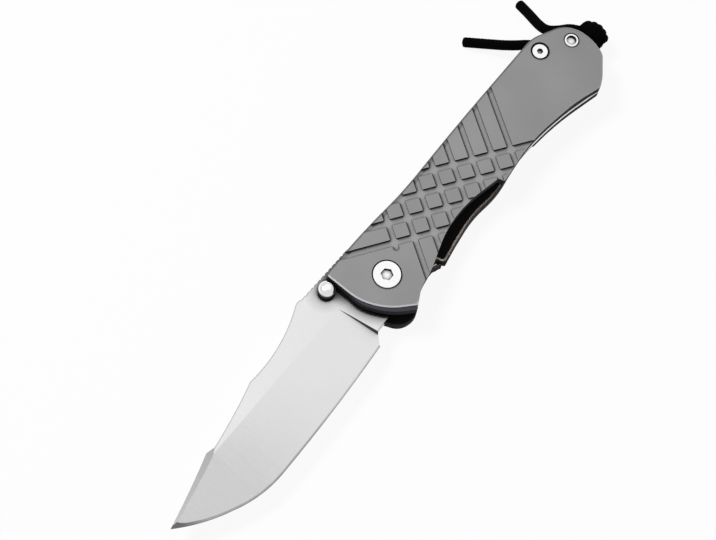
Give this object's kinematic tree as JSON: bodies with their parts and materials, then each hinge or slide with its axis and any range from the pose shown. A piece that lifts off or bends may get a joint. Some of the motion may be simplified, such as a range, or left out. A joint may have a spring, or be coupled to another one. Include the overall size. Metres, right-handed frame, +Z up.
{
  "type": "folding pocket knife",
  "caption": "Folding pocket knife with a broad clip-point blade, a grooved metal frame-lock handle, thumb studs, a pocket clip and a knotted black cord at the butt.",
  "frame": {"origin": "under the middle of the box of the open knife without its cord, on the surface it lies on", "axes": "+X from the blade's tip to the butt, +Y to the spine, +Z up, out of the show side"},
  "size_m": [0.2212, 0.0495, 0.0156],
  "materials": {
    "blasted_titanium": "bead-blasted titanium, matte",
    "satin_steel": "fine satin grind",
    "polished_steel": "polished",
    "bronze": "plain bearing bronze",
    "black_rubber": "soft matte",
    "black_cord": "braided nylon"
  },
  "bodies": {
    "handle": {"front_scale": "blasted_titanium", "rear_scale": "blasted_titanium", "front_washer": "bronze", "rear_washer": "bronze", "pivot_bushing": "polished_steel", "pivot_barrel": "polished_steel", "pivot_screw": "polished_steel", "standoff": "polished_steel", "standoff_screw": "polished_steel", "lanyard_post": "polished_steel", "lanyard_screw_front": "polished_steel", "lanyard_screw_rear": "polished_steel", "clip_screw": "polished_steel", "lanyard_long_strand": "black_cord", "lanyard_short_strand": "black_cord", "lanyard_knot": "black_cord"},
    "blade": {"blade": "satin_steel", "front_thumb_stud": "polished_steel", "rear_thumb_stud": "polished_steel", "front_stud_ring": "black_rubber", "rear_stud_ring": "black_rubber"},
    "lock": {"lock_bar": "blasted_titanium", "detent_ball": "polished_steel"},
    "clip": {"pocket_clip": "blasted_titanium"}
  },
  "joints": [
    {"name": "blade_fold", "type": "hinge", "parent": "handle", "child": "blade", "pos_m": [-0.0029, -0.00095, 0.0093], "axis": [0, 0, 1], "range_deg": [0, 177], "deforming": ["lock_bar", "detent_ball"]},
    {"name": "lock_flex", "type": "hinge", "parent": "handle", "child": "lock", "pos_m": [0.0611, -0.00095, 0.00635], "axis": [0, -1, 0], "range_deg": [0, 1.89]},
    {"name": "clip_flex", "type": "hinge", "parent": "handle", "child": "clip", "pos_m": [0.0837, 0.00855, 0.00235], "axis": [0, -1, 0], "range_deg": [0, 2.5], "stiffness_Nm_per_rad": 4, "deforming": ["pocket_clip"]}
  ],
  "couplings": [
    {"joint": "lock_flex", "follows": "blade_fold", "ratio": 0.010693}
  ]
}
